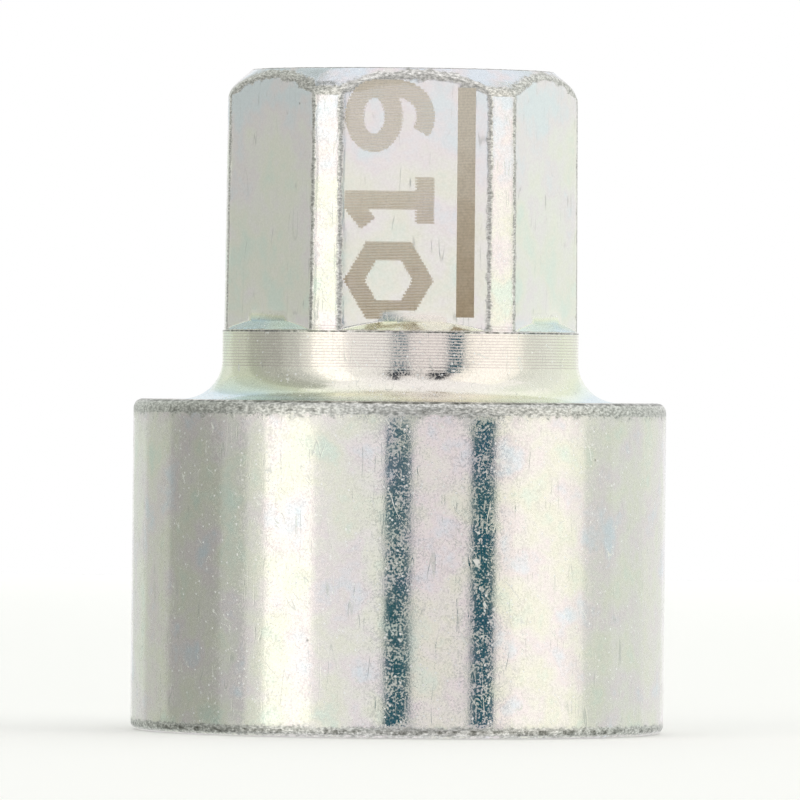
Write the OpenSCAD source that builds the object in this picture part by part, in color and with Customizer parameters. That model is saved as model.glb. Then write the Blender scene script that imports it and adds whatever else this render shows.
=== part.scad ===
// Locking wheel nut key: the steel adapter that lets a wheel brace turn a coded locking
// wheel nut. The hexagon on top takes the brace, and the coded socket underneath goes over
// the nut. It is one piece: turned about one axis, with the six flats and the socket formed
// in the same steel. The origin is the centre of the foot ring, and +Z is the turning axis,
// from the open socket up to the top face of the hexagon.

/* [Socket body] */
// Outer diameter of the large plain cylinder
body_d = 31.5; // [28:0.5:40]
// Height of the large cylinder, from the foot ring to the shoulder
body_h = 19.5; // [15:0.5:30]
// Radius of the worn edge between the cylinder and the shoulder
rim_r = 0.55; // [0.1:0.05:1]
// Radius of the outer edge of the foot ring
foot_r = 0.45; // [0.1:0.05:0.9]

/* [Collar] */
// Height of the turned collar, from the shoulder to the foot of the hexagon
collar_h = 4.1; // [3:0.1:8]
// How far the collar stands proud of the hexagon's turned corners
collar_step = 0.09; // [0.02:0.01:0.5]
// Radius of the hollow fillet between the shoulder and the collar
fillet_r = 2.35; // [0.5:0.05:2.8]

/* [Hexagon] */
// Nominal size of the wheel brace, across the flats
brace_af = 19; // [17:0.5:21]
// How much smaller than the brace the hexagon is across its flats, at its foot
brace_play = 0.1; // [0:0.05:0.4]
// Length of the hexagon, from the collar to the top face
hex_len = 15.4; // [10:0.2:25]
// Draft of the flats and corners, in degrees, narrowing upwards
hex_draft = 0.4; // [0.1:0.1:1.5]
// How far each corner is turned off, measured inwards from the sharp corner
corner_cut = 0.48; // [0.2:0.02:1]
// How far the edge of the round top face lies inside the flats
top_inset = 0.45; // [0.2:0.05:1.5]
// Slope of the turned chamfer round the top face, in degrees below level
top_slope = 40; // [20:1:50]
// Slope of the cone that ends the flats at the collar, in degrees above level
base_slope = 34; // [15:1:50]

/* [Entry] */
// Wall between the round entry and the outside of the cylinder
entry_wall = 2.75; // [2:0.05:4]
// Depth of the round entry that centres the key on the nut
entry_depth = 6; // [3:0.5:8]
// Width of the chamfer at the mouth
mouth_chamfer = 0.8; // [0.2:0.1:1]

/* [Coded recess] */
// Number of grooves in the coded recess
groove_count = 10; // [8:1:14]
// Radius of the round bottom of each groove
groove_r = 1.6; // [1.3:0.1:1.8]
// Radial depth of the grooves, from the crest of a land to the bottom of a groove
groove_depth = 2.7; // [2:0.1:3]
// Width of the ledge left between the groove bottoms and the entry wall
code_ledge = 0.5; // [0.2:0.1:1]
// Width of the lead-in chamfer on the crests of the lands
land_lead = 1; // [0.2:0.1:1.5]

/* [Stud clearance] */
// Steel left between the end of the coded recess and the shoulder
shoulder_wall = 4.5; // [3:0.5:6]
// Diameter of the blind hole that clears the end of the wheel stud
stud_d = 14.5; // [12:0.5:16]
// Depth of that hole beyond the coded recess, without its drilled point
stud_depth = 4; // [1:0.5:8]
// Point angle of the drilled end, in degrees
point_angle = 118; // [90:1:140]

/* [Hidden] */
$fn = 128;
// Bright zinc plating
zinc_color = [0.84, 0.85, 0.82];
// How far a shape runs past the face that it opens or grows from
over = 1;
flats = 6;
flat_turn = 360 / flats;

// Radii of the outside
body_r = body_d / 2;
flat_r = (brace_af - brace_play) / 2;
corner_r = flat_r / cos(flat_turn / 2) - corner_cut;
collar_r = corner_r + collar_step;
top_r = flat_r - hex_len * tan(hex_draft) - top_inset;

// Radii of the socket
entry_r = body_r - entry_wall;
groove_out_r = entry_r - code_ledge;
groove_at_r = groove_out_r - groove_r;
crest_in_r = groove_out_r - groove_depth;
stud_r = stud_d / 2;

// Levels on the axis
collar_z = body_h + collar_h;
code_end_z = body_h - shoulder_wall;
stud_end_z = code_end_z + stud_depth;
stud_tip_z = stud_end_z + stud_r / tan(point_angle / 2);

// The crest of each land is an arc that meets the arcs of the two grooves beside it. Where
// they only touch, the crest arc's radius follows from a linear equation. A bite of a
// hundredth then makes the arcs cross, at a fine edge along each flank.
half_pitch = 180 / groove_count;
crest_bite = 0.01;
chord = groove_at_r * cos(half_pitch);
touch_r = (pow(groove_at_r, 2) + pow(crest_in_r, 2) - 2 * crest_in_r * chord - pow(groove_r, 2))
    / (2 * (groove_r + chord - crest_in_r));
crest_at_r = crest_in_r + touch_r;
crest_r = touch_r + crest_bite;

// Waste outside a rounded outer corner, with the arc's centre at the origin
module corner_waste(r) {
    difference() {
        square(r + over);
        circle(r);
    }
}

// Steel that fills a hollow corner, with the corner at the origin
module fillet_fill(r) {
    difference() {
        square(r);
        translate([r, r])
            circle(r);
    }
}

// Half section of the cylinder, the shoulder, the fillet and the collar
module turned_section() {
    difference() {
        square([body_r, body_h]);
        translate([body_r - rim_r, body_h - rim_r])
            corner_waste(rim_r);
        translate([body_r - foot_r, foot_r])
            mirror([0, 1])
                corner_waste(foot_r);
    }
    square([collar_r, collar_z]);
    translate([collar_r, body_h])
        fillet_fill(fillet_r);
}

// Half section of the drafted corners and the chamfer round the top face
module hexagon_section() {
    intersection() {
        polygon([
            [0, -over],
            [corner_r, -over],
            [corner_r, 0],
            [corner_r - hex_len * tan(hex_draft), hex_len],
            [0, hex_len]
        ]);
        polygon([
            [0, -over],
            [top_r + (hex_len + over) / tan(top_slope), -over],
            [top_r, hex_len],
            [0, hex_len]
        ]);
    }
}

// Six drafted flats, cut from a round blank that is sunk into the collar
module flats_block() {
    difference() {
        translate([0, 0, -over])
            cylinder(r = collar_r, h = hex_len + over);
        for (i = [0:flats - 1])
            rotate(i * flat_turn - 90)
                translate([flat_r, -collar_r, 0])
                    rotate([0, -hex_draft, 0])
                        translate([0, 0, -2 * over])
                            cube([collar_r, 2 * collar_r, hex_len + 3 * over]);
    }
}

// Cone left under the flats, which shows as a lens at the foot of each one
module base_cone() {
    cylinder(r1 = corner_r, r2 = 0, h = corner_r * tan(base_slope));
}

// Hexagon with its foot at the origin
module hexagon() {
    intersection() {
        rotate_extrude()
            hexagon_section();
        union() {
            flats_block();
            base_cone();
        }
    }
}

// Wavy outline of the coded recess: groove arcs and crest arcs in turn, each pair meeting
// on the line between their centres
module code_outline() {
    difference() {
        union() {
            polygon([
                for (i = [0:groove_count - 1], side = [0, 1])
                    let (
                        turn = (2 * i + side) * half_pitch,
                        r = side == 0 ? groove_at_r : crest_at_r
                    )
                    [r * cos(turn), r * sin(turn)]
            ]);
            for (i = [0:groove_count - 1])
                rotate(2 * i * half_pitch)
                    translate([groove_at_r, 0])
                        circle(groove_r);
        }
        for (i = [0:groove_count - 1])
            rotate((2 * i + 1) * half_pitch)
                translate([crest_at_r, 0])
                    circle(crest_r);
    }
}

// Everything that is hollow, from the mouth up to the drilled point
module socket() {
    // Round entry and its mouth chamfer
    translate([0, 0, -over])
        cylinder(r = entry_r, h = entry_depth + over);
    translate([0, 0, -over])
        cylinder(r1 = entry_r + mouth_chamfer + over, r2 = entry_r, h = mouth_chamfer + over);
    // Coded recess and the lead-in on its lands
    translate([0, 0, entry_depth - over])
        linear_extrude(code_end_z - entry_depth + over)
            code_outline();
    translate([0, 0, entry_depth - over])
        cylinder(r1 = crest_in_r + land_lead + over, r2 = crest_in_r, h = land_lead + over);
    // Blind hole for the stud, with its drilled point
    translate([0, 0, code_end_z - over])
        cylinder(r = stud_r, h = stud_depth + over);
    translate([0, 0, stud_end_z])
        cylinder(r1 = stud_r, r2 = 0, h = stud_tip_z - stud_end_z);
}

module key_body() {
    color(zinc_color)
        difference() {
            union() {
                rotate_extrude()
                    turned_section();
                translate([0, 0, collar_z])
                    hexagon();
            }
            socket();
        }
}

key_body();
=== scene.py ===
import math

import bpy
from mathutils import Matrix, Vector


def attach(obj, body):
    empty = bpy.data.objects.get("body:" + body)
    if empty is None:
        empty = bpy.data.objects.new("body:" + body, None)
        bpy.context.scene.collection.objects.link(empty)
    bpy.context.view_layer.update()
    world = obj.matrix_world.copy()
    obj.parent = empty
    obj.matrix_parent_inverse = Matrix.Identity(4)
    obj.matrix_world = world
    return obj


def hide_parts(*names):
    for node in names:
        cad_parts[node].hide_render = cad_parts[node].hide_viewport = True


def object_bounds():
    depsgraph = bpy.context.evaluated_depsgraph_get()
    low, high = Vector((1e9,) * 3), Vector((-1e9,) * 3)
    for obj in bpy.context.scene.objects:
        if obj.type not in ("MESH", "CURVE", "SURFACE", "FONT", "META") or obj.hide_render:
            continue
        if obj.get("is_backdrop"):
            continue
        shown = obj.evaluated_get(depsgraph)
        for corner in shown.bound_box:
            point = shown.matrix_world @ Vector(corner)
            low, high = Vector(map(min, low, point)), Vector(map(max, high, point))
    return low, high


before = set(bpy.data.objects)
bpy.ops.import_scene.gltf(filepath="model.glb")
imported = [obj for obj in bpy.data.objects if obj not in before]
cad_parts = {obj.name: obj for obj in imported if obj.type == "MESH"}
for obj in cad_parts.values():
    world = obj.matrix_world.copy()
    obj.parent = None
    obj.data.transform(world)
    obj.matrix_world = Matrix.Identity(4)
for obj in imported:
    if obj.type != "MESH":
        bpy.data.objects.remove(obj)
cad_low, cad_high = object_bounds()
MM = 0.001

# Key body: one bar of steel that was turned, then pressed to a hexagon above and to a
# coded socket below, and zinc plated all over. The turned blank is made here as rings of
# points, in millimetres, and a node tree then presses the flats and wears the edges.
body_r = min(*cad_high.xy, *-cad_low.xy) / MM
top_z = cad_high.z / MM
flat_count = 6
flat_r = 9.45
draft = math.radians(0.4)
corner_cut = 0.48
corner_r = flat_r / math.cos(math.pi / flat_count) - corner_cut
hex_len = 15.4
collar_z = top_z - hex_len
collar_step = 0.09
collar_r = corner_r + collar_step
body_h = 19.5
fillet_r = 2.35
rim_r = 0.55
foot_r = 0.45
top_inset = 0.45
top_r = flat_r - hex_len * math.tan(draft) - top_inset
top_slope = math.radians(40)
top_edge_r = 0.14
base_slope = math.radians(34)
corner_soft = 0.7

entry_wall = 2.75
entry_r = body_r - entry_wall
entry_depth = 6
mouth_chamfer = 0.8
groove_count = 10
groove_r = 1.6
groove_depth = 2.7
code_ledge = 0.5
groove_out_r = entry_r - code_ledge
groove_at_r = groove_out_r - groove_r
crest_in_r = groove_out_r - groove_depth
land_lead = 1
shoulder_wall = 4.5
code_end_z = body_h - shoulder_wall
stud_r = 7.25
stud_depth = 4
stud_end_z = code_end_z + stud_depth
point_angle = math.radians(118)
stud_tip_z = stud_end_z + stud_r / math.tan(point_angle / 2)

feed_pitch = 0.17
feed_end_z = 21.35
feed_fade = 0.25
first_mark, last_mark, rings_to_a_mark = 142, 123, 4
feed_rows = range(first_mark * rings_to_a_mark, last_mark * rings_to_a_mark, -1)
feed_levels = [row * feed_pitch / rings_to_a_mark for row in feed_rows]


def span(start, end, steps):
    """Evenly spaced values from start towards end, without the end itself."""
    return [start + (end - start) * i / steps for i in range(steps)]


def arc(middle, radius, start, end, steps):
    """Points of the section, as radius and height, round an arc given in degrees."""
    turns = [math.radians(a) for a in span(start, end, steps) + [end]]
    return [(middle[0] + radius * math.cos(a), middle[1] + radius * math.sin(a)) for a in turns]


def soft_least(a, b, blend):
    """The lower of two values, rounded over where they come within a blend of each other."""
    near = max(blend - abs(a - b), 0) / blend
    return min(a, b) - near * near * blend / 4


def hexagon_envelope(z):
    """Radius of the blank at a level of the hexagon: drafted corners and the top chamfer."""
    corner = corner_r - (z - collar_z) * math.tan(draft)
    chamfer = top_r + (top_z - z) / math.tan(top_slope)
    return soft_least(corner, chamfer, corner_soft)


def corner_rub(z):
    """How worn the turned corners are, most where they meet the top chamfer."""
    most, steepness, reach = 0.7, 1.6, 0.4
    edge_z = top_z - (corner_r - top_r) * math.tan(top_slope) - 0.08
    return min(most, steepness * max(0, 1 - abs(z - edge_z) / reach))


def collar_radius(z):
    """Radius of the collar and, under it, of the hollow fillet."""
    below = body_h + fillet_r - z
    if below <= 0:
        return collar_r
    return collar_r + fillet_r - math.sqrt(fillet_r**2 - below**2)


# The points round a ring stand closest where the pressed flats meet the turned corners.
# Turns are in degrees from the middle of a flat, and the first flat faces -Y.
edge_start, edge_end, half_flat = 23.4, 26.8, 30
half_sector = (
    span(0, edge_start, 19) + span(edge_start, edge_end, 14) + span(edge_end, half_flat, 7)
)
sector = [-a for a in reversed(half_sector[1:] + [half_flat])] + half_sector
ring_turns = [
    math.radians(2 * half_flat * i - 90 + a) for i in range(flat_count) for a in sector
]
ring_size = len(ring_turns)
lobe_size = ring_size // groove_count
first_groove = -108
first_crest = first_groove - 180 / groove_count
inner_turns = [math.radians(first_crest + 360 * i / ring_size) for i in range(ring_size)]

# The coded outline is made of groove arcs and crest arcs in turn, tangent to each other.
half_pitch = math.pi / groove_count
chord = groove_at_r * math.cos(half_pitch)
crest_r = (groove_at_r**2 + crest_in_r**2 - 2 * crest_in_r * chord - groove_r**2) / (
    2 * (groove_r + chord - crest_in_r)
)
groove_middle = Vector((groove_at_r, 0))
crest_middle = (crest_in_r + crest_r) * Vector((math.cos(half_pitch), math.sin(half_pitch)))
flank_turn = math.atan2(*reversed(crest_middle - groove_middle))


def code_point(index):
    """Radius and turn of one point of the coded outline."""
    lobe, step = divmod(index, lobe_size)
    side = step - lobe_size // 2
    share = abs(side) / (lobe_size // 2) * 2
    if share < 1:
        bend = flank_turn * share
        point = groove_middle + groove_r * Vector((math.cos(bend), math.sin(bend)))
    else:
        bend = flank_turn + math.pi + (half_pitch - flank_turn) * (share - 1)
        point = crest_middle + crest_r * Vector((math.cos(bend), math.sin(bend)))
    turn = math.atan2(point.y, point.x)
    middle = math.radians(first_groove) + 2 * half_pitch * lobe
    return point.length, middle + math.copysign(turn, side)


code_points = [code_point(i) for i in range(ring_size)]
points = []
# Each point carries marks for the plating; the dark-line mark is painted shade with some dirt
traits = {name: [] for name in ("worn", "feed", "pooled", "grime", "film")}


def add_ring(polar, z, **marks):
    """Adds one ring of points, given as pairs of radius and turn, with its marks."""
    points.extend((r * math.cos(a), r * math.sin(a), z) for r, a in polar)
    for name, values in traits.items():
        values.extend([marks.get(name, 0.0)] * ring_size)


def add_turned(section, turns, **marks):
    """Adds a round ring for each point of a section."""
    for r, z in section:
        add_ring([(r, a) for a in turns], z, **marks)


def add_code_ring(least_r, z):
    """Adds a ring of the coded outline, with its lands cut back to a radius."""
    add_ring([(max(r, least_r), a) for r, a in code_points], z)


# A ring a hair away from a crease on each side keeps it crisp.
hair = 0.03

# Top face, its worn edge, the chamfer and the drafted hexagon, whose film changes upwards
chamfer_low_z = 37.3
film_from_z, film_reach, film_most = 31, 7, 0.13
edge_back = top_edge_r * math.tan(top_slope / 2)
add_turned([(r, top_z) for r in (0.4, 3.0, 6.0, 8.2)], ring_turns)
top_edge = arc((top_r - edge_back, top_z - top_edge_r), top_edge_r, 90, 50, 5)
add_turned(top_edge[:3], ring_turns, worn=0.7)
# The outer half of the top edge gets a dark line of painted shade and dirt
add_turned(top_edge[3:], ring_turns, worn=0.7, grime=0.75)
chamfer_levels = span(top_z - 0.06, chamfer_low_z, 16)
for z in chamfer_levels + span(chamfer_low_z, feed_levels[0], 20):
    film = (z - film_from_z) / film_reach * film_most
    add_turned([(hexagon_envelope(z), z)], ring_turns, worn=corner_rub(z), film=film)
# Turned foot of the hexagon, collar and upper fillet, with four rings to each feed mark
for z in [z for z in feed_levels if z > collar_z + 0.02] + [collar_z]:
    feed = min(1, (feed_levels[0] - z) / feed_fade)
    add_turned([(hexagon_envelope(z), z)], ring_turns, feed=feed)
collar_edge_r = 0.04
collar_edge = arc((collar_r - collar_edge_r, collar_z - collar_edge_r), collar_edge_r, 90, 0, 3)
add_turned(collar_edge[:2], ring_turns, worn=0.2)
# The ledge under the collar gets a dark broken line of painted shade and dirt
add_turned(collar_edge[2:] + [(collar_r, collar_z - 0.09)], ring_turns, worn=0.4, grime=0.62)
for z in [z for z in feed_levels if z < collar_z - 0.12]:
    feed = 1 if z > feed_end_z else min(0.3, z - feed_levels[-1])
    add_turned([(collar_radius(z), z)], ring_turns, feed=feed, pooled=0.25)
# Lower fillet, shoulder, rim, wall and foot of the cylinder
fillet_start = 180 + math.degrees(math.asin((body_h + fillet_r - feed_levels[-1]) / fillet_r))
lower_fillet = arc(
    (collar_r + fillet_r, body_h + fillet_r), fillet_r, fillet_start + 3, 270, 14
)
for i, spot in enumerate(lower_fillet):
    add_turned([spot], ring_turns, pooled=0.3 + 0.7 * i / len(lower_fillet))
shoulder_in_r = 13.3
rim_in_r = body_r - rim_r
rim_foot_z = body_h - rim_r
shoulder_out_r = rim_in_r - 0.2
add_turned([(r, body_h) for r in span(shoulder_in_r, shoulder_out_r, 3)], ring_turns, worn=0.3)
# Dark lines of painted shade and dirt follow the shoulder's edge, the rim and the wall just under it
add_turned([(shoulder_out_r, body_h)], ring_turns, worn=0.8, grime=0.3)
rim_arc = arc((rim_in_r, rim_foot_z), rim_r, 90, 0, 12)
add_turned(rim_arc[:6], ring_turns, worn=1, grime=0.58)
add_turned(rim_arc[6:10], ring_turns, worn=1, grime=0.2)
add_turned(rim_arc[10:], ring_turns, worn=1, grime=0.42)
for drop, wear, grime in ((0.1, 0.85, 0.42), (0.25, 0.5, 0.2), (0.6, 0.3, 0), (1.2, 0.1, 0)):
    add_turned([(body_r, rim_foot_z - drop)], ring_turns, worn=wear, grime=grime)
wall_high_z, wall_low_z = 17.0, foot_r + 0.5
add_turned([(body_r, z) for z in span(wall_high_z, wall_low_z, 4) + [wall_low_z]], ring_turns)
for lift, wear in ((0.2, 0.45), (0.06, 0.7)):
    add_turned([(body_r, foot_r + lift)], ring_turns, worn=wear)
foot_arc = arc((body_r - foot_r, foot_r), foot_r, 0, -90, 10)
# The foot's rounding is darkened with painted shade and dirt where it meets the floor
add_turned(foot_arc[:5], ring_turns, worn=1, grime=0.52)
add_turned(foot_arc[5:], ring_turns, worn=0.55, grime=0.12)
# Socket, from the mouth up to the drilled point
foot_in_r = 15.0
mouth_r = entry_r + mouth_chamfer
add_turned([(r, 0) for r in span(foot_in_r, mouth_r, 2)], inner_turns, worn=0.4)
add_turned([(mouth_r - d, d) for d in (hair, mouth_chamfer - hair)], inner_turns, worn=0.4)
add_turned([(entry_r, z) for z in span(mouth_chamfer + hair, entry_depth, 4)], inner_turns)
add_turned([(r, entry_depth) for r in (entry_r - hair, groove_out_r + 0.05)], inner_turns)
for depth in span(0, land_lead, 4):
    add_code_ring(crest_in_r + land_lead - depth, entry_depth + depth)
for z in span(entry_depth + land_lead, code_end_z, 4) + [code_end_z]:
    add_code_ring(0, z)
add_turned([(r, code_end_z) for r in (stud_r + 0.8, stud_r + hair)], inner_turns)
stud_levels = (code_end_z + hair, (code_end_z + stud_end_z) / 2, stud_end_z - hair)
add_turned([(stud_r, z) for z in stud_levels], inner_turns)
point_len = stud_tip_z - stud_end_z
for share in (0.02, 0.4, 0.9):
    add_turned([(stud_r * (1 - share), stud_end_z + share * point_len)], inner_turns)

ring_count = len(points) // ring_size
faces = []
for ring in range(ring_count - 1):
    for i in range(ring_size):
        here, there = ring * ring_size, (ring + 1) * ring_size
        after = (i + 1) % ring_size
        faces.append((here + i, there + i, there + after, here + after))
top_pole, stud_pole = len(points), len(points) + 1
points += [(0, 0, top_z), (0, 0, stud_tip_z)]
for values in traits.values():
    values += [0.0, 0.0]
last = (ring_count - 1) * ring_size
for i in range(ring_size):
    after = (i + 1) % ring_size
    faces.append((top_pole, i, after))
    faces.append((stud_pole, last + after, last + i))

blank = bpy.data.meshes.new("turned_blank")
blank.from_pydata(points, [], faces)
for name, values in traits.items():
    blank.attributes.new(name, "FLOAT", "POINT").data.foreach_set("value", values)


def add_node(tree, kind, feeds=(), **settings):
    """Adds a node with its settings, and feeds its inputs in order or by name."""
    node = tree.nodes.new(kind)
    for name, value in settings.items():
        setattr(node, name, value)
    sockets = [s for s in node.inputs if s.enabled]
    named = {s.name: s for s in reversed(sockets)}
    pairs = feeds.items() if isinstance(feeds, dict) else enumerate(feeds)
    for key, value in pairs:
        socket = named[key] if isinstance(key, str) else sockets[key]
        if isinstance(value, bpy.types.Node):
            value = next(s for s in value.outputs if s.enabled)
        if isinstance(value, bpy.types.NodeSocket):
            tree.links.new(value, socket)
        elif value is not None:
            socket.default_value = value
    return node


def new_tree(name, sizes):
    """Starts a geometry tree with a named input for each size, and returns it with its inputs."""
    tree = bpy.data.node_groups.new(name, "GeometryNodeTree")
    tree.interface.new_socket("Geometry", in_out="INPUT", socket_type="NodeSocketGeometry")
    tree.interface.new_socket("Geometry", in_out="OUTPUT", socket_type="NodeSocketGeometry")
    for label, value in sizes.items():
        kind = "NodeSocketInt" if isinstance(value, int) else "NodeSocketFloat"
        tree.interface.new_socket(label, in_out="INPUT", socket_type=kind)
    return tree, add_node(tree, "NodeGroupInput").outputs


def baked(name, mesh, tree, sizes):
    """Runs a tree on a mesh in millimetres and returns the plain result as a piece in metres."""
    maker = bpy.data.objects.new(name + "_maker", mesh)
    bpy.context.scene.collection.objects.link(maker)
    modifier = maker.modifiers.new("maker", "NODES")
    modifier.node_group = tree
    for item in tree.interface.items_tree:
        if item.in_out == "INPUT" and item.name in sizes:
            modifier[item.identifier] = sizes[item.name]
    evaluated = maker.evaluated_get(bpy.context.evaluated_depsgraph_get())
    piece = bpy.data.objects.new(name, bpy.data.meshes.new_from_object(evaluated))
    bpy.data.objects.remove(maker)
    piece.data.name = name
    piece.data.transform(Matrix.Scale(MM, 4))
    bpy.context.scene.collection.objects.link(piece)
    return piece


def linear(code):
    """An sRGB hex colour as linear red, green, blue and alpha."""
    parts = [int(code[i : i + 2], 16) / 255 for i in (1, 3, 5)]
    return [p / 12.92 if p < 0.04045 else ((p + 0.055) / 1.055) ** 2.4 for p in parts] + [1.0]


def ramp(tree, factor, stops):
    """Adds a colour ramp with its stops as pairs of place and hex colour."""
    node = add_node(tree, "ShaderNodeValToRGB", (factor,))
    band = node.color_ramp
    while len(band.elements) < len(stops):
        band.elements.new(0.5)
    for element, (place, code) in zip(band.elements, stops):
        element.position = place
        element.color = linear(code)
    return node


# Bright zinc plating, clear passivated, over turned and pressed steel. The plating gives
# a satin mirror with fine nodules; the passivate film adds pale green, straw and rose
# clouds, stronger where it pooled in hollows; rubbed edges turn grey and mottled.

# Sizes of the patterns in millimetres. Nodules and specks are finer on the real key, and
# are drawn two pixels wide so that they show.
cloud_size, pool_size, gloss_size = 3.0, 5.0, 2.0
nodule_size, speck_size, patch_size, wave_size = 0.12, 0.13, 1.1, 1.6
rub_size, rub_tone_size, grime_and_shade_size = 0.4, 0.24, 0.5
plating = bpy.data.materials.new("bright_zinc_plating")
plating.use_nodes = True
look = plating.node_tree
look.nodes.clear()
place = add_node(look, "ShaderNodeTexCoord").outputs["Object"]
in_mm = add_node(look, "ShaderNodeVectorMath", (place, (1 / MM,) * 3), operation="MULTIPLY")
axes = add_node(look, "ShaderNodeSeparateXYZ", (in_mm,))
clouds = add_node(look, "ShaderNodeTexNoise", (in_mm, 1 / cloud_size, 4.0, 0.6))
film_shift = add_node(look, "ShaderNodeAttribute", attribute_name="film").outputs["Fac"]
film_place = add_node(look, "ShaderNodeMath", (clouds, film_shift), operation="ADD")
film = ramp(
    look,
    film_place,
    [(0.30, "#dfe9e0"), (0.42, "#eae9de"), (0.50, "#ebe8e4"), (0.57, "#ebe3e5"), (0.70, "#dfe6ee")],
)
# The pooled film is straw in front, and turns to pale blue towards both sides
straw_x, straw_shift, blue_shift = 1.0, -0.35, 0.31
pooling = add_node(look, "ShaderNodeAttribute", attribute_name="pooled").outputs["Fac"]
pool_clouds = add_node(look, "ShaderNodeTexNoise", (in_mm, 1 / pool_size, 2.0, 0.5))
pool_shift = add_node(look, "ShaderNodeMapRange", (pool_clouds, 0.3, 0.7, -0.2, 0.12))
to_side = add_node(look, "ShaderNodeMath", (axes.outputs["X"], straw_x), operation="SUBTRACT")
aside = add_node(look, "ShaderNodeMath", (to_side,), operation="ABSOLUTE")
pool_lean = add_node(
    look, "ShaderNodeMapRange", (aside, 0.0, 10.0, straw_shift, blue_shift), clamp=False
)
pool_cloud = add_node(look, "ShaderNodeMath", (pool_shift, pool_lean), operation="ADD")
pool_place = add_node(look, "ShaderNodeMath", (pooling, pool_cloud), operation="ADD")
pool_film = ramp(
    look,
    pool_place,
    [(0.15, "#f2ece6"), (0.4, "#f8f5e9"), (0.6, "#f3f6df"), (0.85, "#e3f0e8"), (1.0, "#d0e4ee")],
)
pool_here = add_node(look, "ShaderNodeMapRange", (pooling, 0.0, 0.25, 0.0, 1.0))
tinted = add_node(look, "ShaderNodeMix", (pool_here, film, pool_film), data_type="RGBA")
# Pressed flats are paler, and the feed grooves are darkened with painted shade
flatness = add_node(look, "ShaderNodeAttribute", attribute_name="pressed").outputs["Fac"]
lighter = add_node(look, "ShaderNodeMapRange", (flatness, 0.0, 1.0, 1.0, 1.26))
grooves = add_node(look, "ShaderNodeAttribute", attribute_name="groove").outputs["Fac"]
groove_shade_and_dull = add_node(look, "ShaderNodeMapRange", (grooves, 0.3, 1.0, 0.0, 0.7))
grain = add_node(look, "ShaderNodeTexNoise", (in_mm, 1 / nodule_size, 2.0, 0.65))
grain_shade = add_node(look, "ShaderNodeMapRange", (grain, 0.3, 0.7, 0.92, 1.06))
shading = add_node(look, "ShaderNodeMath", (grain_shade, lighter), operation="MULTIPLY")
toned = add_node(look, "ShaderNodeVectorMath", (tinted, shading), operation="MULTIPLY")
# The rose grey in the feed grooves is painted shade
groove_shaded = add_node(look, "ShaderNodeMix", (groove_shade_and_dull, toned, linear("#c9b9bc")), data_type="RGBA")


def dots(size, share, inner, outer):
    """Adds round dots in a share of the cells of a given size, and returns how far in each is."""
    cells = add_node(look, "ShaderNodeTexVoronoi", (in_mm, 1 / size))
    here = add_node(
        look, "ShaderNodeMath", (cells.outputs["Color"], 1 - share), operation="GREATER_THAN"
    )
    ring = (cells.outputs["Distance"], inner / size, outer / size, 1.0, 0.0)
    shape = add_node(look, "ShaderNodeMapRange", ring)
    return add_node(look, "ShaderNodeMath", (here, shape), operation="MULTIPLY")


# Dull specks where the zinc grew coarse, thicker in patches and near the worn rims
coarse = add_node(look, "ShaderNodeTexNoise", (in_mm, 1 / speck_size, 2.0, 0.6))
coarse_patches = add_node(look, "ShaderNodeTexNoise", (in_mm, 1 / patch_size, 2.0, 0.6))
coarse_sum = add_node(look, "ShaderNodeMath", (coarse_patches, 0.4, coarse), operation="MULTIPLY_ADD")
rubbed = add_node(look, "ShaderNodeAttribute", attribute_name="worn").outputs["Fac"]
coarse_worn = add_node(look, "ShaderNodeMath", (rubbed, 0.3, coarse_sum), operation="MULTIPLY_ADD")
coarse_here = add_node(look, "ShaderNodeMapRange", (coarse_worn, 0.71, 0.79, 0.0, 1.0))
off_flats = add_node(look, "ShaderNodeMapRange", (flatness, 0.0, 1.0, 1.0, 0.15))
dull = add_node(look, "ShaderNodeMath", (coarse_here, off_flats), operation="MULTIPLY")

# Some dark pits and some white grains
pits = dots(0.9, 0.12, 0.02, 0.11)
all_grains = dots(0.42, 0.6, 0.04, 0.08)
grains = add_node(look, "ShaderNodeMath", (all_grains, off_flats), operation="MULTIPLY")
pitted = add_node(look, "ShaderNodeMix", (pits, groove_shaded, linear("#9a9b95")), data_type="RGBA")
speckled = add_node(look, "ShaderNodeMix", (grains, pitted, linear("#ffffff")), data_type="RGBA")


def scratch_lines(tilt, size, lower, upper):
    """Adds fine lines that run at a tilt from upright, kept in patches of a given size."""
    strand_size = 0.8
    turned = add_node(
        look, "ShaderNodeVectorRotate", {"Vector": in_mm, "Angle": tilt}, rotation_type="Y_AXIS"
    )
    drawn = add_node(look, "ShaderNodeVectorMath", (turned, (1.0, 1.0, 0.1)), operation="MULTIPLY")
    strands = add_node(look, "ShaderNodeTexNoise", (drawn, 1 / strand_size, 1.0, 0.5))
    off = add_node(look, "ShaderNodeMath", (strands, 0.5), operation="SUBTRACT")
    gap = add_node(look, "ShaderNodeMath", (off,), operation="ABSOLUTE")
    line = add_node(look, "ShaderNodeMapRange", (gap, 0.004, 0.012, 1.0, 0.0))
    patches = add_node(look, "ShaderNodeTexNoise", (turned, 1 / size, 1.0, 0.5))
    here = add_node(look, "ShaderNodeMapRange", (patches, lower, upper, 0.0, 1.0))
    return add_node(look, "ShaderNodeMath", (line, here), operation="MULTIPLY")


# Fine upright scratches from braces and boxes, and short bright ones across them
upright = scratch_lines(0.0, 1.3, 0.52, 0.64)
all_slanted = scratch_lines(0.6, 0.9, 0.58, 0.64)
slanted = add_node(look, "ShaderNodeMath", (all_slanted, off_flats), operation="MULTIPLY")
drawn_over = add_node(look, "ShaderNodeMath", (upright, 0.6), operation="MULTIPLY")
scored = add_node(look, "ShaderNodeMix", (drawn_over, speckled, linear("#c9cbc6")), data_type="RGBA")
scratched = add_node(look, "ShaderNodeMix", (slanted, scored, linear("#f6f6f2")), data_type="RGBA")
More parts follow.
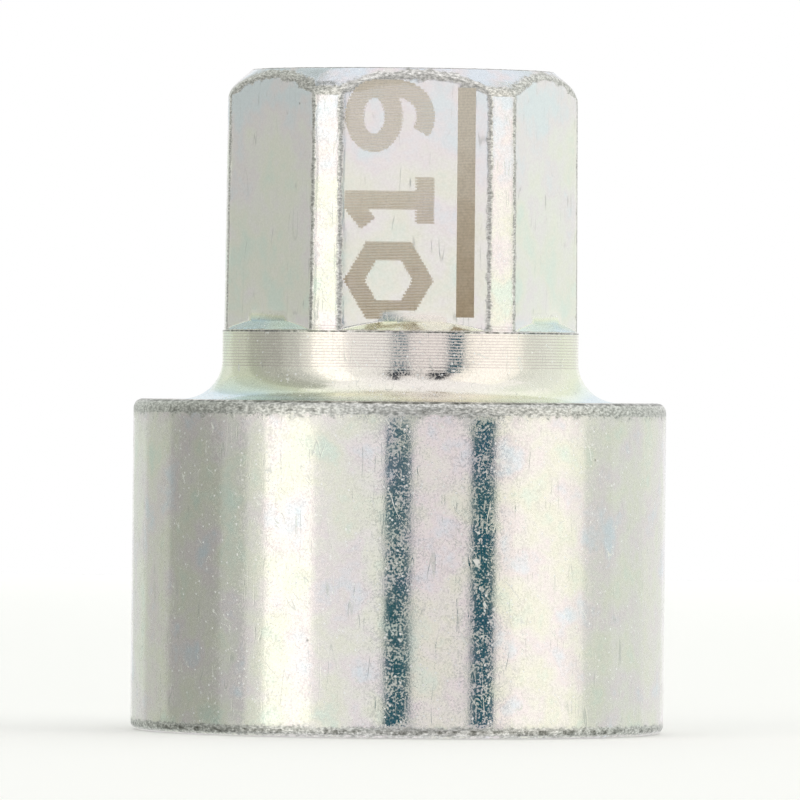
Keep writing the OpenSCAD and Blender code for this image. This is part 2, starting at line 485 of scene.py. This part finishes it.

# Rubbed edges, from the wear that the body's mesh carries, and dark painted shade and dirt in the corners
rub_grain = add_node(look, "ShaderNodeTexNoise", (in_mm, 1 / rub_size, 3.0, 0.7))
rub_sum = add_node(look, "ShaderNodeMath", (rub_grain, rubbed), operation="ADD")
rub = add_node(look, "ShaderNodeMapRange", (rub_sum, 0.9, 1.1, 0.0, 1.0))
layered = add_node(look, "ShaderNodeVectorMath", (in_mm, (1.0, 1.0, 2.2)), operation="MULTIPLY")
rub_tone = add_node(look, "ShaderNodeTexNoise", (layered, 1 / rub_tone_size, 3.0, 0.7))
rub_film = ramp(look, rub_tone, [(0.38, "#989894"), (0.50, "#bebdb9"), (0.62, "#e4e3df")])
up_hexagon = add_node(look, "ShaderNodeMapRange", (axes.outputs["Z"], 22.0, 25.0, 0.0, 1.0))
rub_tint = ramp(look, up_hexagon, [(0.0, "#eeeff0"), (1.0, "#fbfafb")])
rub_tinted = add_node(look, "ShaderNodeVectorMath", (rub_film, rub_tint), operation="MULTIPLY")
rub_strength = add_node(look, "ShaderNodeMapRange", (rubbed, 0.8, 1.0, 1.24, 1.4))
rub_shade = add_node(look, "ShaderNodeVectorMath", (rub_tinted, rub_strength), operation="MULTIPLY")
worn_shade = add_node(look, "ShaderNodeMix", (rub, scratched, rub_shade), data_type="RGBA")
# Painted shade with some dirt: broken dark lines in #55564e where the mesh carries this mark
grime_and_shade_here = add_node(look, "ShaderNodeAttribute", attribute_name="grime").outputs["Fac"]
grime_and_shade_grain = add_node(look, "ShaderNodeTexNoise", (in_mm, 1 / grime_and_shade_size, 3.0, 0.7))
grime_and_shade_sum = add_node(look, "ShaderNodeMath", (grime_and_shade_grain, grime_and_shade_here), operation="ADD")
grime_and_shade_mask = add_node(look, "ShaderNodeMapRange", (grime_and_shade_sum, 0.95, 1.15, 0.0, 0.85))
shade = add_node(look, "ShaderNodeMix", (grime_and_shade_mask, worn_shade, linear("#55564e")), data_type="RGBA")

# Roughness: a satin mirror, duller at specks, grains, scratches and rubbed edges
gloss_clouds = add_node(look, "ShaderNodeTexNoise", (in_mm, 1 / gloss_size, 2.0, 0.5))
gloss = add_node(look, "ShaderNodeMapRange", (gloss_clouds, 0.3, 0.7, 0.08, 0.12))
hazed = add_node(look, "ShaderNodeMath", (pooling, 0.08, gloss), operation="MULTIPLY_ADD")
speck_gloss = add_node(look, "ShaderNodeMix", (dull, hazed, 0.3), data_type="FLOAT")
groove_gloss = add_node(look, "ShaderNodeMix", (groove_shade_and_dull, speck_gloss, 0.36), data_type="FLOAT")
rubbed_gloss = add_node(look, "ShaderNodeMix", (rub, groove_gloss, 0.3), data_type="FLOAT")
scuffs = add_node(look, "ShaderNodeMath", (grains, slanted), operation="MAXIMUM")
rough = add_node(look, "ShaderNodeMix", (scuffs, rubbed_gloss, 0.55), data_type="FLOAT")
metal = add_node(look, "ShaderNodeMapRange", (flatness, 0.0, 1.0, 0.97, 0.58))

# Heights in millimetres: grain, slow waves, pits and the hammered wear
fine = add_node(look, "ShaderNodeMath", (grain, 0.0018), operation="MULTIPLY")
waves = add_node(look, "ShaderNodeTexNoise", (in_mm, 1 / wave_size, 2.0, 0.5))
waved = add_node(look, "ShaderNodeMath", (waves, 0.004, fine), operation="MULTIPLY_ADD")
calm = add_node(look, "ShaderNodeMapRange", (flatness, 0.0, 1.0, 1.0, 0.25))
calmed = add_node(look, "ShaderNodeMath", (waved, calm), operation="MULTIPLY")
dotted = add_node(look, "ShaderNodeMath", (pits, -0.012, calmed), operation="MULTIPLY_ADD")
cut_in = add_node(look, "ShaderNodeMath", (drawn_over, -0.005, dotted), operation="MULTIPLY_ADD")
rub_height = add_node(look, "ShaderNodeMath", (rub_tone, rub), operation="MULTIPLY")
rub_lift = add_node(look, "ShaderNodeMapRange", (rubbed, 0.8, 1.0, 0.02, 0.045))
height = add_node(look, "ShaderNodeMath", (rub_height, rub_lift, cut_in), operation="MULTIPLY_ADD")
bump = add_node(look, "ShaderNodeBump", {"Distance": MM, "Height": height})
surface = add_node(
    look,
    "ShaderNodeBsdfPrincipled",
    {"Base Color": shade, "Metallic": metal, "Roughness": rough, "Normal": bump},
)
add_node(look, "ShaderNodeOutputMaterial", (surface,))

# The press: six drafted flats with worn edges, the cone left at the foot of each flat, the
# feed marks of the turning tool and the hammered wear of the rims.
press_sizes = {
    "Flat Count": flat_count,
    "Flat Distance": flat_r,
    "Draft": draft,
    "Foot Level": collar_z,
    "Corner Radius": corner_r,
    "Base Slope": base_slope,
    "Edge Wear": 0.06,
    "Arc Wear": 0.24,
    "Arc Level": 37.4,
    "Feed Pitch": feed_pitch,
    "Feed Depth": 0.014,
    "Rub Depth": 0.035,
    "Rub Grain": 0.45,
    "Seed": 7.0,
}
crease_soft, wander_size = 0.05, 0.9
press, size = new_tree("press_and_wear", press_sizes)
spot = add_node(press, "GeometryNodeInputPosition")
axes = add_node(press, "ShaderNodeSeparateXYZ", (spot,))
level = axes.outputs["Z"]
level_part = add_node(press, "ShaderNodeVectorMath", (spot, (0, 0, 1)), operation="MULTIPLY")
across = add_node(press, "ShaderNodeVectorMath", (spot, (1, 1, 0)), operation="MULTIPLY")
outward = add_node(press, "ShaderNodeVectorMath", (across,), operation="NORMALIZE")
radius = add_node(press, "ShaderNodeVectorMath", (across,), operation="LENGTH")
bearing = add_node(press, "ShaderNodeMath", (axes.outputs["Y"], axes.outputs["X"]), operation="ARCTAN2")
from_front = add_node(press, "ShaderNodeMath", (bearing, math.pi / 2), operation="ADD")
half_turn = add_node(press, "ShaderNodeMath", (math.pi, size["Flat Count"]), operation="DIVIDE")
half_back = add_node(press, "ShaderNodeMath", (half_turn, -1), operation="MULTIPLY")
from_flat = add_node(press, "ShaderNodeMath", (from_front, half_turn, half_back), operation="WRAP")
rise = add_node(press, "ShaderNodeMath", (level, size["Foot Level"]), operation="SUBTRACT")
draft_rate = add_node(press, "ShaderNodeMath", (size["Draft"],), operation="TANGENT")
drawn_in = add_node(press, "ShaderNodeMath", (rise, draft_rate), operation="MULTIPLY")
flat_at = add_node(press, "ShaderNodeMath", (size["Flat Distance"], drawn_in), operation="SUBTRACT")
leaning = add_node(press, "ShaderNodeMath", (from_flat,), operation="COSINE")
flat_reach = add_node(press, "ShaderNodeMath", (flat_at, leaning), operation="DIVIDE")
cone_rate = add_node(press, "ShaderNodeMath", (size["Base Slope"],), operation="TANGENT")
cone_in = add_node(press, "ShaderNodeMath", (rise, cone_rate), operation="DIVIDE")
cone_reach = add_node(press, "ShaderNodeMath", (size["Corner Radius"], cone_in), operation="SUBTRACT")
cut = add_node(press, "ShaderNodeMath", (flat_reach, cone_reach, crease_soft), operation="SMOOTH_MAX")
wander = add_node(press, "ShaderNodeTexNoise", (spot, 1 / wander_size, 2.0, 0.5))
wander_rate = add_node(press, "ShaderNodeMapRange", (wander, 0.3, 0.7, 0.55, 1.5))
arc_share = add_node(press, "ShaderNodeMath", (level, size["Arc Level"]), operation="SUBTRACT")
edge_size = add_node(
    press, "ShaderNodeMapRange", (arc_share, 0.0, 0.3, size["Edge Wear"], size["Arc Wear"])
)
softness = add_node(press, "ShaderNodeMath", (edge_size, wander_rate), operation="MULTIPLY")
pressed = add_node(press, "ShaderNodeMath", (radius, cut, softness), operation="SMOOTH_MIN")
above = add_node(press, "ShaderNodeMath", (rise, 0.001), operation="GREATER_THAN")
final_reach = add_node(press, "ShaderNodeMix", (above, radius, pressed), data_type="FLOAT")
reached = add_node(press, "ShaderNodeVectorMath", (outward, final_reach), operation="SCALE")
formed = add_node(press, "ShaderNodeVectorMath", (reached, level_part), operation="ADD")

# How far a point lies from the line where a flat meets the turned blank, and so how rubbed
gap = add_node(press, "ShaderNodeMath", (radius, cut), operation="SUBTRACT")
gap_size = add_node(press, "ShaderNodeMath", (gap,), operation="ABSOLUTE")
edge_near = add_node(press, "ShaderNodeMath", (gap_size, softness), operation="DIVIDE")
arc_rub = add_node(press, "ShaderNodeMapRange", (arc_share, 0.0, 0.3, 0.8, 0.95))
edge_rub = add_node(press, "ShaderNodeMapRange", (edge_near, 0.3, 2.5, arc_rub, 0.0))
depth_in = add_node(press, "ShaderNodeMapRange", (gap, 0.0, 0.02, 0.0, above))
cone_over = add_node(press, "ShaderNodeMath", (cone_reach, flat_reach), operation="SUBTRACT")
cone_shown = add_node(press, "ShaderNodeMapRange", (cone_over, -0.02, 0.02, 0.0, 1.0))
lens = add_node(press, "ShaderNodeMath", (cone_shown, depth_in), operation="MULTIPLY")
pressed_flat = add_node(press, "ShaderNodeMath", (depth_in, lens), operation="SUBTRACT")
as_turned = add_node(press, "ShaderNodeMath", (1, depth_in), operation="SUBTRACT")

# Marks kept for the plating: wear of rims and edges, film pooled in hollows, flats as
# pressed, and the scallops that the turning tool left where nothing was pressed
rim_worn = add_node(press, "GeometryNodeInputNamedAttribute", ("worn",), data_type="FLOAT")
rim_left = add_node(press, "ShaderNodeMath", (rim_worn, as_turned), operation="MULTIPLY")
edge_worn = add_node(press, "ShaderNodeMath", (edge_rub, above), operation="MULTIPLY")
all_worn = add_node(press, "ShaderNodeMath", (edge_worn, rim_left), operation="MAXIMUM")
hollow = add_node(press, "GeometryNodeInputNamedAttribute", ("pooled",), data_type="FLOAT")
lens_film = add_node(press, "ShaderNodeMath", (lens, 0.8), operation="MULTIPLY")
all_pooled = add_node(press, "ShaderNodeMath", (lens_film, hollow), operation="MAXIMUM")
half_feed = add_node(press, "ShaderNodeMath", (size["Feed Pitch"], 0.5), operation="MULTIPLY")
feed_wave = add_node(press, "ShaderNodeMath", (level, half_feed), operation="PINGPONG")
feed_share = add_node(press, "ShaderNodeMath", (feed_wave, half_feed), operation="DIVIDE")
scallop = add_node(press, "ShaderNodeMath", (feed_share, 2), operation="POWER")
feed = add_node(press, "GeometryNodeInputNamedAttribute", ("feed",), data_type="FLOAT")
feed_left = add_node(press, "ShaderNodeMath", (feed, as_turned), operation="MULTIPLY")
grooved = add_node(press, "ShaderNodeMath", (scallop, feed_left), operation="MULTIPLY")
marked = size["Geometry"]
for label, field in (
    ("worn", all_worn), ("pooled", all_pooled), ("pressed", pressed_flat), ("groove", grooved)
):
    marked = add_node(
        press,
        "GeometryNodeStoreNamedAttribute",
        (marked, None, label, field),
        data_type="FLOAT",
        domain="POINT",
    )
# The flats first, then feed grooves and dents along the normals of the pressed blank
moved = add_node(press, "GeometryNodeSetPosition", (marked, None, formed))
groove = add_node(press, "GeometryNodeInputNamedAttribute", ("groove",), data_type="FLOAT")
feed_move = add_node(press, "ShaderNodeMath", (groove, size["Feed Depth"]), operation="MULTIPLY")
seeded = add_node(press, "ShaderNodeVectorMath", (spot, size["Seed"]), operation="ADD")
rub_scale = add_node(press, "ShaderNodeMath", (1, size["Rub Grain"]), operation="DIVIDE")
dents = add_node(press, "ShaderNodeTexNoise", (seeded, rub_scale, 2.0, 0.6))
dent_depth = add_node(press, "ShaderNodeMapRange", (dents, 0.3, 0.75, 0.0, size["Rub Depth"]))
final_worn = add_node(press, "GeometryNodeInputNamedAttribute", ("worn",), data_type="FLOAT")
rub_move = add_node(press, "ShaderNodeMath", (dent_depth, final_worn), operation="MULTIPLY")
all_down = add_node(press, "ShaderNodeMath", (feed_move, rub_move), operation="ADD")
move = add_node(press, "ShaderNodeMath", (all_down, -1), operation="MULTIPLY")
facing = add_node(press, "GeometryNodeInputNormal")
offset = add_node(press, "ShaderNodeVectorMath", (facing, move), operation="SCALE")
rubbed_down = add_node(press, "GeometryNodeSetPosition", (moved, None, None, offset))
smooth = add_node(press, "GeometryNodeSetShadeSmooth", (rubbed_down,))
real = add_node(press, "GeometryNodeRealizeInstances", (smooth,))
plated = add_node(press, "GeometryNodeSetMaterial", {"Geometry": real, "Material": plating})
add_node(press, "NodeGroupOutput", (plated,))

key = baked("plated_key", blank, press, press_sizes)
key.data.set_sharp_from_angle(angle=math.radians(38))
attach(key, "root")
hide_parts("key_body")

# Laser mark: a size mark burnt into the plating of the front flat, in hatch rows that run
# across it: the outline of a hexagon and its size, and a plain bar. The burnt zinc stands
# up as a thin matt crust, a hundredth of a millimetre proud.
mark_low_z, mark_high_z = 24.25, 38.3
mark_left, mark_right = -4.15, 1.15
cap_height = 5.23
stroke = 1.05
hatch_pitch = 0.09
bar_left, bar_right = 2.47, 3.52
bar_low_z, bar_high_z = 24.42, 37.83
hexagon_middle, one_middle, nine_middle = 26.55, 31.2, 36.12
one_reach = 1.35
flag_low, flag_high, flag_in = 1.38, 0.46, 0.25
bowl_r = 1.575
bowl_rise = 1.15
tail_turn = -125


def turn_points(along, up, radius, rise, start, end, steps):
    """Points round an arc of a glyph, as places along the line of text and above its foot."""
    turns = [math.radians(a) for a in span(start, end, steps) + [end]]
    return [(along + radius * math.cos(a), up + rise * math.sin(a)) for a in turns]


def ribbon(line):
    """Points down both sides of a stroke along a line, mitred where the line bends."""
    spots = [Vector(p) for p in line]
    closed = (spots[0] - spots[-1]).length < 0.001
    before = [spots[-2] if closed else 2 * spots[0] - spots[1]] + spots[:-1]
    after = spots[1:] + [spots[1] if closed else 2 * spots[-1] - spots[-2]]
    sides = []
    for last, here, following in zip(before, spots, after):
        first_side = (here - last).normalized().orthogonal()
        second_side = (following - here).normalized().orthogonal()
        mitre = (first_side + second_side).normalized()
        reach = mitre * stroke / 2 / mitre.dot(first_side)
        sides += [here + reach, here - reach]
    return sides


hexagon_r = cap_height / 2 - stroke / 2 / math.cos(math.radians(30))
bowl_up, tail_up = cap_height - stroke / 2 - bowl_rise, stroke / 2 + bowl_r
glyphs = [
    turn_points(hexagon_middle, cap_height / 2, hexagon_r, hexagon_r, 90, 450, 6),
    [(one_middle, 0), (one_middle, cap_height)],
    [(one_middle - one_reach, cap_height - flag_low), (one_middle - flag_in, cap_height - flag_high)],
    [(one_middle - one_reach, stroke / 2), (one_middle + one_reach, stroke / 2)],
    turn_points(nine_middle, bowl_up, bowl_r, bowl_rise, 0, 360, 40),
    [(nine_middle + bowl_r, bowl_up)]
    + turn_points(nine_middle, tail_up, bowl_r, bowl_r, 0, tail_turn, 14),
]
strokes = bpy.data.meshes.new("glyph_strokes")
stroke_points, stroke_faces = [], []
for glyph in glyphs:
    first = len(stroke_points)
    stroke_points += [(mark_right - up, along, 0) for along, up in ribbon(glyph)]
    stroke_faces += [(i, i + 1, i + 3, i + 2) for i in range(first, len(stroke_points) - 2, 2)]
strokes.from_pydata(stroke_points, [], stroke_faces)

# Laser-burnt zinc: a brown-grey matt crust with its hatch rows showing as fine lines,
# deeper in colour towards the foot of the flat
burnt_patch_size, grit_size = 1.2, 0.13
burnt = bpy.data.materials.new("laser_burnt_zinc")
burnt.use_nodes = True
look = burnt.node_tree
look.nodes.clear()
place = add_node(look, "ShaderNodeTexCoord").outputs["Object"]
in_mm = add_node(look, "ShaderNodeVectorMath", (place, (1 / MM,) * 3), operation="MULTIPLY")
height = add_node(look, "ShaderNodeSeparateXYZ", (in_mm,)).outputs["Z"]
rise = add_node(look, "ShaderNodeMapRange", (height, mark_low_z, mark_high_z, 0.0, 1.0))
patches = add_node(look, "ShaderNodeTexNoise", (in_mm, 1 / burnt_patch_size, 3.0, 0.6))
patchy = add_node(look, "ShaderNodeMath", (patches, 0.5, rise), operation="MULTIPLY_ADD")
tone = ramp(look, patchy, [(0.2, "#af9c81"), (0.65, "#c5b7a3"), (1.0, "#dad1c3")])
row_turn = add_node(look, "ShaderNodeMath", (height, 2 * math.pi / hatch_pitch), operation="MULTIPLY")
row_wave = add_node(look, "ShaderNodeMath", (row_turn,), operation="COSINE")
row_shade = add_node(look, "ShaderNodeMapRange", (row_wave, -1.0, 1.0, 0.86, 1.08))
speckle = add_node(look, "ShaderNodeTexNoise", (in_mm, 1 / grit_size, 2.0, 0.6))
speckle_shade = add_node(look, "ShaderNodeMapRange", (speckle, 0.3, 0.7, 0.88, 1.1))
both = add_node(look, "ShaderNodeMath", (row_shade, speckle_shade), operation="MULTIPLY")
shade = add_node(look, "ShaderNodeVectorMath", (tone, both), operation="MULTIPLY")
grit = add_node(look, "ShaderNodeMath", (speckle, 0.01), operation="MULTIPLY")
bump = add_node(look, "ShaderNodeBump", {"Distance": MM, "Height": grit})
surface = add_node(
    look,
    "ShaderNodeBsdfPrincipled",
    {"Base Color": shade, "Metallic": 0.25, "Roughness": 0.55, "Normal": bump},
)
add_node(look, "ShaderNodeOutputMaterial", (surface,))

# The hatch: a fine sheet of rows, kept where it lies on a stroke, thickened, set on the
# drafted flat and ridged once for each pass of the laser. Every other pass runs back, and
# its ends lie a little to one side.
hatch_sizes = {
    "Left": mark_left,
    "Right": mark_right,
    "Low": mark_low_z,
    "High": mark_high_z,
    "Bar Left": bar_left,
    "Bar Right": bar_right,
    "Bar Low": bar_low_z,
    "Bar High": bar_high_z,
    "Column": 0.06,
    "Pitch": hatch_pitch,
    "Backlash": 0.07,
    "Ridge": 0.008,
    "Proud": 0.004,
    "Sunk": 0.02,
    "Flat Distance": flat_r,
    "Draft": draft,
    "Foot Level": collar_z,
}
hatch, size = new_tree("laser_hatch", hatch_sizes)
sheets = []
for part in ("", "Bar "):
    ends = []
    for start, end, step, rows_to_a_step in (
        ("Left", "Right", "Column", 1), ("Low", "High", "Pitch", 2)
    ):
        start, end = size[part + start], size[part + end]
        length = add_node(hatch, "ShaderNodeMath", (end, start), operation="SUBTRACT")
        share = add_node(hatch, "ShaderNodeMath", (length, size[step]), operation="DIVIDE")
        count = add_node(hatch, "ShaderNodeMath", (share, rows_to_a_step, 1), operation="MULTIPLY_ADD")
        both_ends = add_node(hatch, "ShaderNodeMath", (start, end), operation="ADD")
        middle = add_node(hatch, "ShaderNodeMath", (both_ends, 0.5), operation="MULTIPLY")
        ends.append((length, count, middle))
    (wide, columns, middle_x), (tall, rows, middle_z) = ends
    sheet = add_node(hatch, "GeometryNodeMeshGrid", (wide, tall, columns, rows))
    centre = add_node(hatch, "ShaderNodeCombineXYZ", (middle_x, middle_z))
    sheets.append(add_node(hatch, "GeometryNodeSetPosition", (sheet, None, None, centre)))
spot = add_node(hatch, "GeometryNodeInputPosition")
axes = add_node(hatch, "ShaderNodeSeparateXYZ", (spot,))
row_foot = add_node(hatch, "ShaderNodeMath", (axes.outputs["Y"], size["Pitch"]), operation="SNAP")
half_pitch_up = add_node(hatch, "ShaderNodeMath", (size["Pitch"], 0.5, row_foot), operation="MULTIPLY_ADD")
row_share = add_node(hatch, "ShaderNodeMath", (axes.outputs["Y"], size["Pitch"]), operation="DIVIDE")
row_number = add_node(hatch, "ShaderNodeMath", (row_share,), operation="FLOOR")
runs_back = add_node(hatch, "ShaderNodeMath", (row_number, 2), operation="MODULO")
row_x = add_node(
    hatch, "ShaderNodeMath", (runs_back, size["Backlash"], axes.outputs["X"]), operation="MULTIPLY_ADD"
)
row_spot = add_node(hatch, "ShaderNodeCombineXYZ", (row_x, half_pitch_up))
near = add_node(
    hatch,
    "GeometryNodeProximity",
    {"Geometry": size["Geometry"], "Sample Position": row_spot},
    target_element="FACES",
)
outside = add_node(hatch, "ShaderNodeMath", (near.outputs["Distance"], 0.001), operation="GREATER_THAN")
text = add_node(hatch, "GeometryNodeDeleteGeometry", (sheets[0], outside), domain="FACE")
flat_mark = add_node(hatch, "GeometryNodeJoinGeometry", (text,))
hatch.links.new(sheets[1].outputs[0], flat_mark.inputs[0])
thick_sum = add_node(hatch, "ShaderNodeMath", (size["Proud"], size["Sunk"]), operation="ADD")
raised = add_node(
    hatch,
    "GeometryNodeExtrudeMesh",
    {"Mesh": flat_mark, "Offset Scale": thick_sum, "Individual": False},
)
under = add_node(hatch, "GeometryNodeFlipFaces", (flat_mark,))
shell = add_node(hatch, "GeometryNodeJoinGeometry", (raised,))
hatch.links.new(under.outputs[0], shell.inputs[0])
closed = add_node(hatch, "GeometryNodeMergeByDistance", {"Geometry": shell, "Distance": 0.001})
is_top = add_node(hatch, "ShaderNodeMath", (axes.outputs["Z"], 0.005), operation="GREATER_THAN")
row_phase = add_node(hatch, "ShaderNodeMath", (row_share, 2 * math.pi), operation="MULTIPLY")
row_wave = add_node(hatch, "ShaderNodeMath", (row_phase,), operation="COSINE")
ridge = add_node(hatch, "ShaderNodeMath", (row_wave, size["Ridge"]), operation="MULTIPLY")
ridge_up = add_node(hatch, "ShaderNodeMath", (ridge, is_top, axes.outputs["Z"]), operation="MULTIPLY_ADD")
out = add_node(hatch, "ShaderNodeMath", (ridge_up, size["Sunk"]), operation="SUBTRACT")
rise = add_node(hatch, "ShaderNodeMath", (axes.outputs["Y"], size["Foot Level"]), operation="SUBTRACT")
draft_rate = add_node(hatch, "ShaderNodeMath", (size["Draft"],), operation="TANGENT")
drawn_in = add_node(hatch, "ShaderNodeMath", (rise, draft_rate), operation="MULTIPLY")
flat_at = add_node(hatch, "ShaderNodeMath", (size["Flat Distance"], drawn_in), operation="SUBTRACT")
reach = add_node(hatch, "ShaderNodeMath", (flat_at, out), operation="ADD")
forward = add_node(hatch, "ShaderNodeMath", (reach, -1), operation="MULTIPLY")
on_flat = add_node(hatch, "ShaderNodeCombineXYZ", (axes.outputs["X"], forward, axes.outputs["Y"]))
fitted = add_node(hatch, "GeometryNodeSetPosition", (closed, None, on_flat))
real = add_node(hatch, "GeometryNodeRealizeInstances", (fitted,))
coated = add_node(hatch, "GeometryNodeSetMaterial", {"Geometry": real, "Material": burnt})
add_node(hatch, "NodeGroupOutput", (coated,))

mark = baked("laser_mark", strokes, hatch, hatch_sizes)
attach(mark, "root")

# Floor: a pale round sheet that only catches the shadow. It is white to the camera, and
# clear from below, so the socket can be looked into.
floor_r = 0.55
floor_z = -0.00005
bpy.ops.mesh.primitive_circle_add(
    vertices=96, radius=floor_r, fill_type="NGON", location=(0, 0, floor_z)
)
floor = bpy.context.object
floor.name = "floor"
floor.visible_diffuse = False
floor.visible_glossy = False
card = bpy.data.materials.new("white_card")
card.use_nodes = True
look = card.node_tree
look.nodes.clear()
matt = add_node(look, "ShaderNodeBsdfDiffuse", (linear("#f2f2f0"),))
glow = add_node(look, "ShaderNodeEmission", (linear("#ffffff"), 0.2))
lit = add_node(look, "ShaderNodeAddShader", (matt, glow))
clear = add_node(look, "ShaderNodeBsdfTransparent")
side = add_node(look, "ShaderNodeNewGeometry").outputs["Backfacing"]
one_sided = add_node(look, "ShaderNodeMixShader", (side, lit, clear))
add_node(look, "ShaderNodeOutputMaterial", (one_sided,))
floor.data.materials.append(card)
floor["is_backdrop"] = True

# Studio: a white room at strength 1, with paper panels and two dark cloth flags, shot from
# green to blue, that only the key and the floor can see. Their bearings from the camera and
# their heights are in degrees, and each hangs a little in front of those before it.
camera_bearing = -4.6
panel_r, panel_gap = 0.6, 0.002
panel_steps = 12
cloth_fold = 0.005
panels = [
    ("front_right", -6, 43, -50, 50, "#f8f5f3", 0.95),
    ("front_left", -36.3, -6, -50, 50, "#fcfdfa", 0.95),
    ("camera_flag", -5.9, 5.3, -8, 1.85, "#125c68", 0.9),
    ("thin_flag", 30.8, 41.6, -8, 31, "#0e5c68", 0.9),
    ("camera_veil", -5.3, 4.9, 1.85, 31, "#8799a2", 0.9),
    ("camera_brow", -10, 7.9, 31, 43, "#1f2b3a", 0.9),
    ("camera_brow_high", -8.8, 0.5, 43, 57, "#1f2b3a", 0.9),
    ("thin_brow", 19.3, 36.3, 31, 44, "#1c2634", 0.9),
    ("thin_brow_high", 23, 35.6, 44, 54, "#1c2634", 0.9),
    ("softbox_right_near", 41.6, 50, -50, 55, "#fffdf4", 1.08),
    ("softbox_right", 50, 78, -50, 55, "#fffdf6", 1.19),
    ("softbox_right_far", 78, 86, -50, 55, "#fffff6", 1.09),
    ("side_right_near", 86, 104, -50, 40, "#f0f5ee", 0.89),
    ("side_right", 104, 130, -50, 58, "#f1f6f0", 0.94),
    ("back_right", 130, 160, -50, 40, "#f6f9f4", 0.96),
    ("softbox_left", -59, -36.3, -50, 55, "#fffef6", 1.38),
    ("edge_left", -68, -59, -55, 60, "#f2f5ef", 0.9),
    ("side_left", -82, -68, -55, 60, "#ced2cd", 0.9),
    ("dark_left", -116, -82, -55, 66, "#b4b7b1", 0.92),
    ("back_left", -140, -116, -55, 60, "#cfd3cb", 0.95),
    ("far_left", -165, -140, -55, 60, "#e4e9e3", 0.96),
]
for order, (name, start, end, low, high, code, strength) in enumerate(panels):
    reach = panel_r - panel_gap * order
    turns = [math.radians(camera_bearing + a) for a in span(start, end, panel_steps) + [end]]
    corners = [
        (reach * math.sin(a), -reach * math.cos(a), reach * math.tan(math.radians(elevation)))
        for a in turns
        for elevation in (low, high)
    ]
    sheet = bpy.data.meshes.new(name)
    sheet.from_pydata(
        corners, [], [(i, i + 1, i + 3, i + 2) for i in range(0, len(corners) - 2, 2)]
    )
    panel = bpy.data.objects.new(name, sheet)
    bpy.context.scene.collection.objects.link(panel)
    panel.visible_camera = False
    paper = bpy.data.materials.new(name + "_paper")
    paper.use_nodes = True
    look = paper.node_tree
    look.nodes.clear()
    colour = linear(code)
    if name.endswith("_flag"):
        in_panel = add_node(look, "ShaderNodeTexCoord").outputs["Object"]
        folds = add_node(look, "ShaderNodeTexNoise", (in_panel, 1 / cloth_fold, 2.0, 0.5))
        colour = ramp(look, folds, [(0.38, "#124445"), (0.5, code), (0.62, "#1a6188")])
    light = add_node(look, "ShaderNodeEmission", (colour, strength))
    add_node(look, "ShaderNodeOutputMaterial", (light,))
    sheet.materials.append(paper)
    panel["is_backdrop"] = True

world = bpy.data.worlds.new("white_room")
world.use_nodes = True
look = world.node_tree
look.nodes.clear()
room = add_node(look, "ShaderNodeBackground", (linear("#ffffff"), 1.0))
add_node(look, "ShaderNodeOutputWorld", (room,))
bpy.context.scene.world = world

# Camera: level with the collar, far back, a little to the left of the front flat, and
# turned slightly about its own axis as the photograph was.
camera_far = 0.735
camera_z = 0.0212
field = 0.04728
aim = Vector((0, 0, 0.01955))
camera_roll = math.radians(0.58)
bearing = math.radians(camera_bearing)
lens = bpy.data.cameras.new("camera")
camera = bpy.data.objects.new("camera", lens)
bpy.context.scene.collection.objects.link(camera)
lens.sensor_width = 36
lens.lens = lens.sensor_width * camera_far / field
lens.clip_start = 0.01
lens.clip_end = 10
camera.location = (camera_far * math.sin(bearing), -camera_far * math.cos(bearing), camera_z)
looking = (aim - camera.location).to_track_quat("-Z", "Y")
camera.rotation_mode = "QUATERNION"
camera.rotation_quaternion = looking @ Matrix.Rotation(camera_roll, 3, "Z").to_quaternion()
bpy.context.scene.camera = camera
bpy.context.scene.view_settings.view_transform = "Standard"

low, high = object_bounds()
